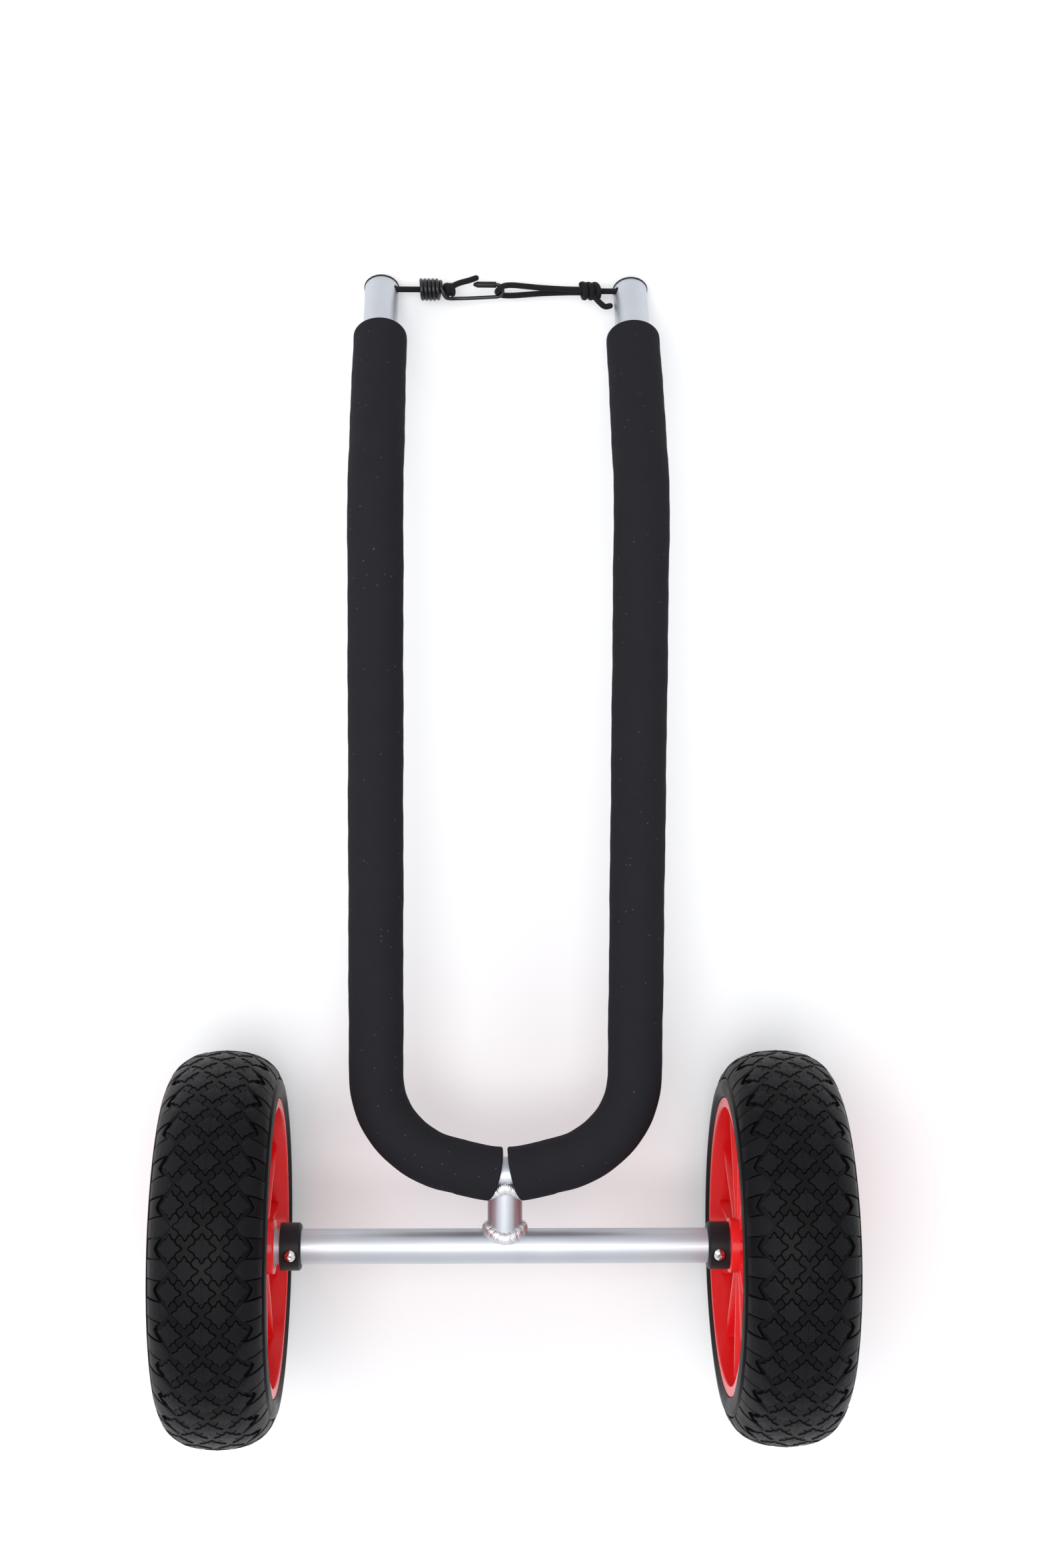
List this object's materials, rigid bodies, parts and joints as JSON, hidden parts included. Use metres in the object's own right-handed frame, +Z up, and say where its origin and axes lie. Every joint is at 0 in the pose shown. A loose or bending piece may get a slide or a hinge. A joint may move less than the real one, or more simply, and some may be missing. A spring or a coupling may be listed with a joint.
{
  "type": "beach cart",
  "caption": "Two-wheeled beach cart with a foam-padded U-shaped board cradle, wide treaded tyres, bent-down arm tips and a hooked elastic cord across them.",
  "frame": {"origin": "on the floor, below the middle of the cart's length and width as it rests on its wheels and tips", "axes": "+X along the axle to the right-hand wheel, +Y along the arms from the axle to the tips, +Z up"},
  "size_m": [0.505, 0.8403, 0.28],
  "materials": {
    "tube": "satin anodised",
    "weld": "rippled weld bead",
    "foam": "matte closed-cell foam",
    "end_plug": "satin moulded",
    "collar": "satin moulded",
    "steel": "bright zinc",
    "tyre": "moulded foam rubber",
    "hub": "glossy moulded",
    "bush": "natural nylon",
    "hook": "glossy coating on steel wire",
    "hook_sleeve": "satin",
    "cord": "braided"
  },
  "bodies": {
    "frame": {"axle_tube": "tube", "post_tube": "tube", "cradle_tube": "tube", "axle_weld": "weld", "cradle_weld": "weld", "foam_left": "foam", "foam_right": "foam", "tip_plug_left": "end_plug", "tip_plug_right": "end_plug", "collar_left": "collar", "collar_right": "collar", "collar_screw_left": "steel", "collar_screw_right": "steel", "washer_left": "steel", "washer_right": "steel", "anchor_knot_left": "cord", "cord_left": "cord", "anchor_knot_right": "cord", "cord_right": "cord", "loop_knot": "cord", "cord_loop": "cord", "cord_right_tail": "cord"},
    "wheel_left": {"tyre_left": "tyre", "hub_left": "hub", "bush_left_inner": "bush", "bush_left_outer": "bush"},
    "wheel_right": {"tyre_right": "tyre", "hub_right": "hub", "bush_right_inner": "bush", "bush_right_outer": "bush"},
    "lock_pin_left": {"lock_pin_left": "steel"},
    "lock_pin_right": {"lock_pin_right": "steel"},
    "hook": {"hook_wire": "hook", "hook_tip": "hook_sleeve", "stopper_knot": "cord", "cord_left_tail": "cord"}
  },
  "joints": [
    {"name": "wheel_left_spin", "type": "hinge", "parent": "frame", "child": "wheel_left", "pos_m": [0, -0.28015, 0.14], "axis": [1, 0, 0], "continuous": true},
    {"name": "wheel_right_spin", "type": "hinge", "parent": "frame", "child": "wheel_right", "pos_m": [0, -0.28015, 0.14], "axis": [1, 0, 0], "continuous": true},
    {"name": "lock_pin_left_pull", "type": "slide", "parent": "frame", "child": "lock_pin_left", "axis": [0, -1, 0], "range_m": [0, 0.045]},
    {"name": "lock_pin_right_pull", "type": "slide", "parent": "frame", "child": "lock_pin_right", "axis": [0, -1, 0], "range_m": [0, 0.045]},
    {"name": "hook_pull", "type": "slide", "parent": "frame", "child": "hook", "axis": [1, 0, 0], "range_m": [0, 0.008], "stiffness_N_per_m": 150, "springref_m": -0.005, "deforming": ["cord_left"]}
  ]
}
